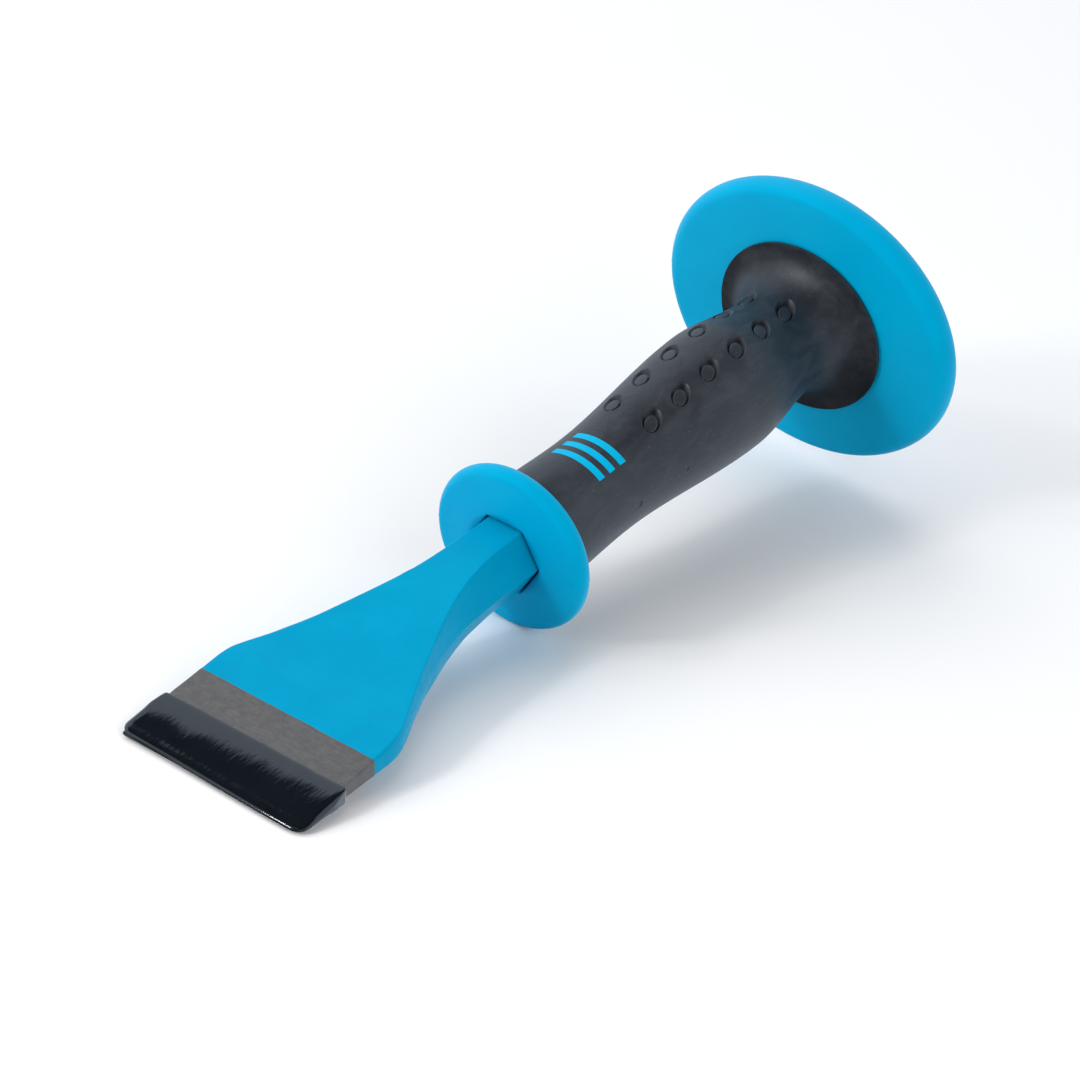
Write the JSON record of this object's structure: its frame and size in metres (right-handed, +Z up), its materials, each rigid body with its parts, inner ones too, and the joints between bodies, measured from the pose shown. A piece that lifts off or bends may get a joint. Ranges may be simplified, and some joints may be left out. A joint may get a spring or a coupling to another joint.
{
  "type": "flared cold chisel with guarded grip",
  "caption": "Hand-struck chisel: hexagonal forged bar drawn out to a wide flat blade, with a rubber-covered grip, a front collar, a wide oval hand guard and a dipped edge protector.",
  "frame": {"origin": "centre of the bounding box on the surface the tool lies on", "axes": "+X along the tool as it lies, from the striking end towards the cutting edge; +Z up from the surface it lies on; Y across the blade"},
  "size_m": [0.2644, 0.0948, 0.0899],
  "materials": {
    "forged_chisel": "satin blue paint over forged steel; the ground bevel behind the dip is bare steel",
    "handle_core": "smooth moulded blue plastic, soft gloss",
    "grip_overmould": "fine matt moulded rubber with scooped dimples",
    "edge_dip_coat": "glossy dipped peel-off plastic"
  },
  "bodies": {
    "root": {"forged_chisel": "forged_chisel", "handle_core": "handle_core", "grip_overmould": "grip_overmould", "edge_dip_coat": "edge_dip_coat"}
  },
  "joints": []
}
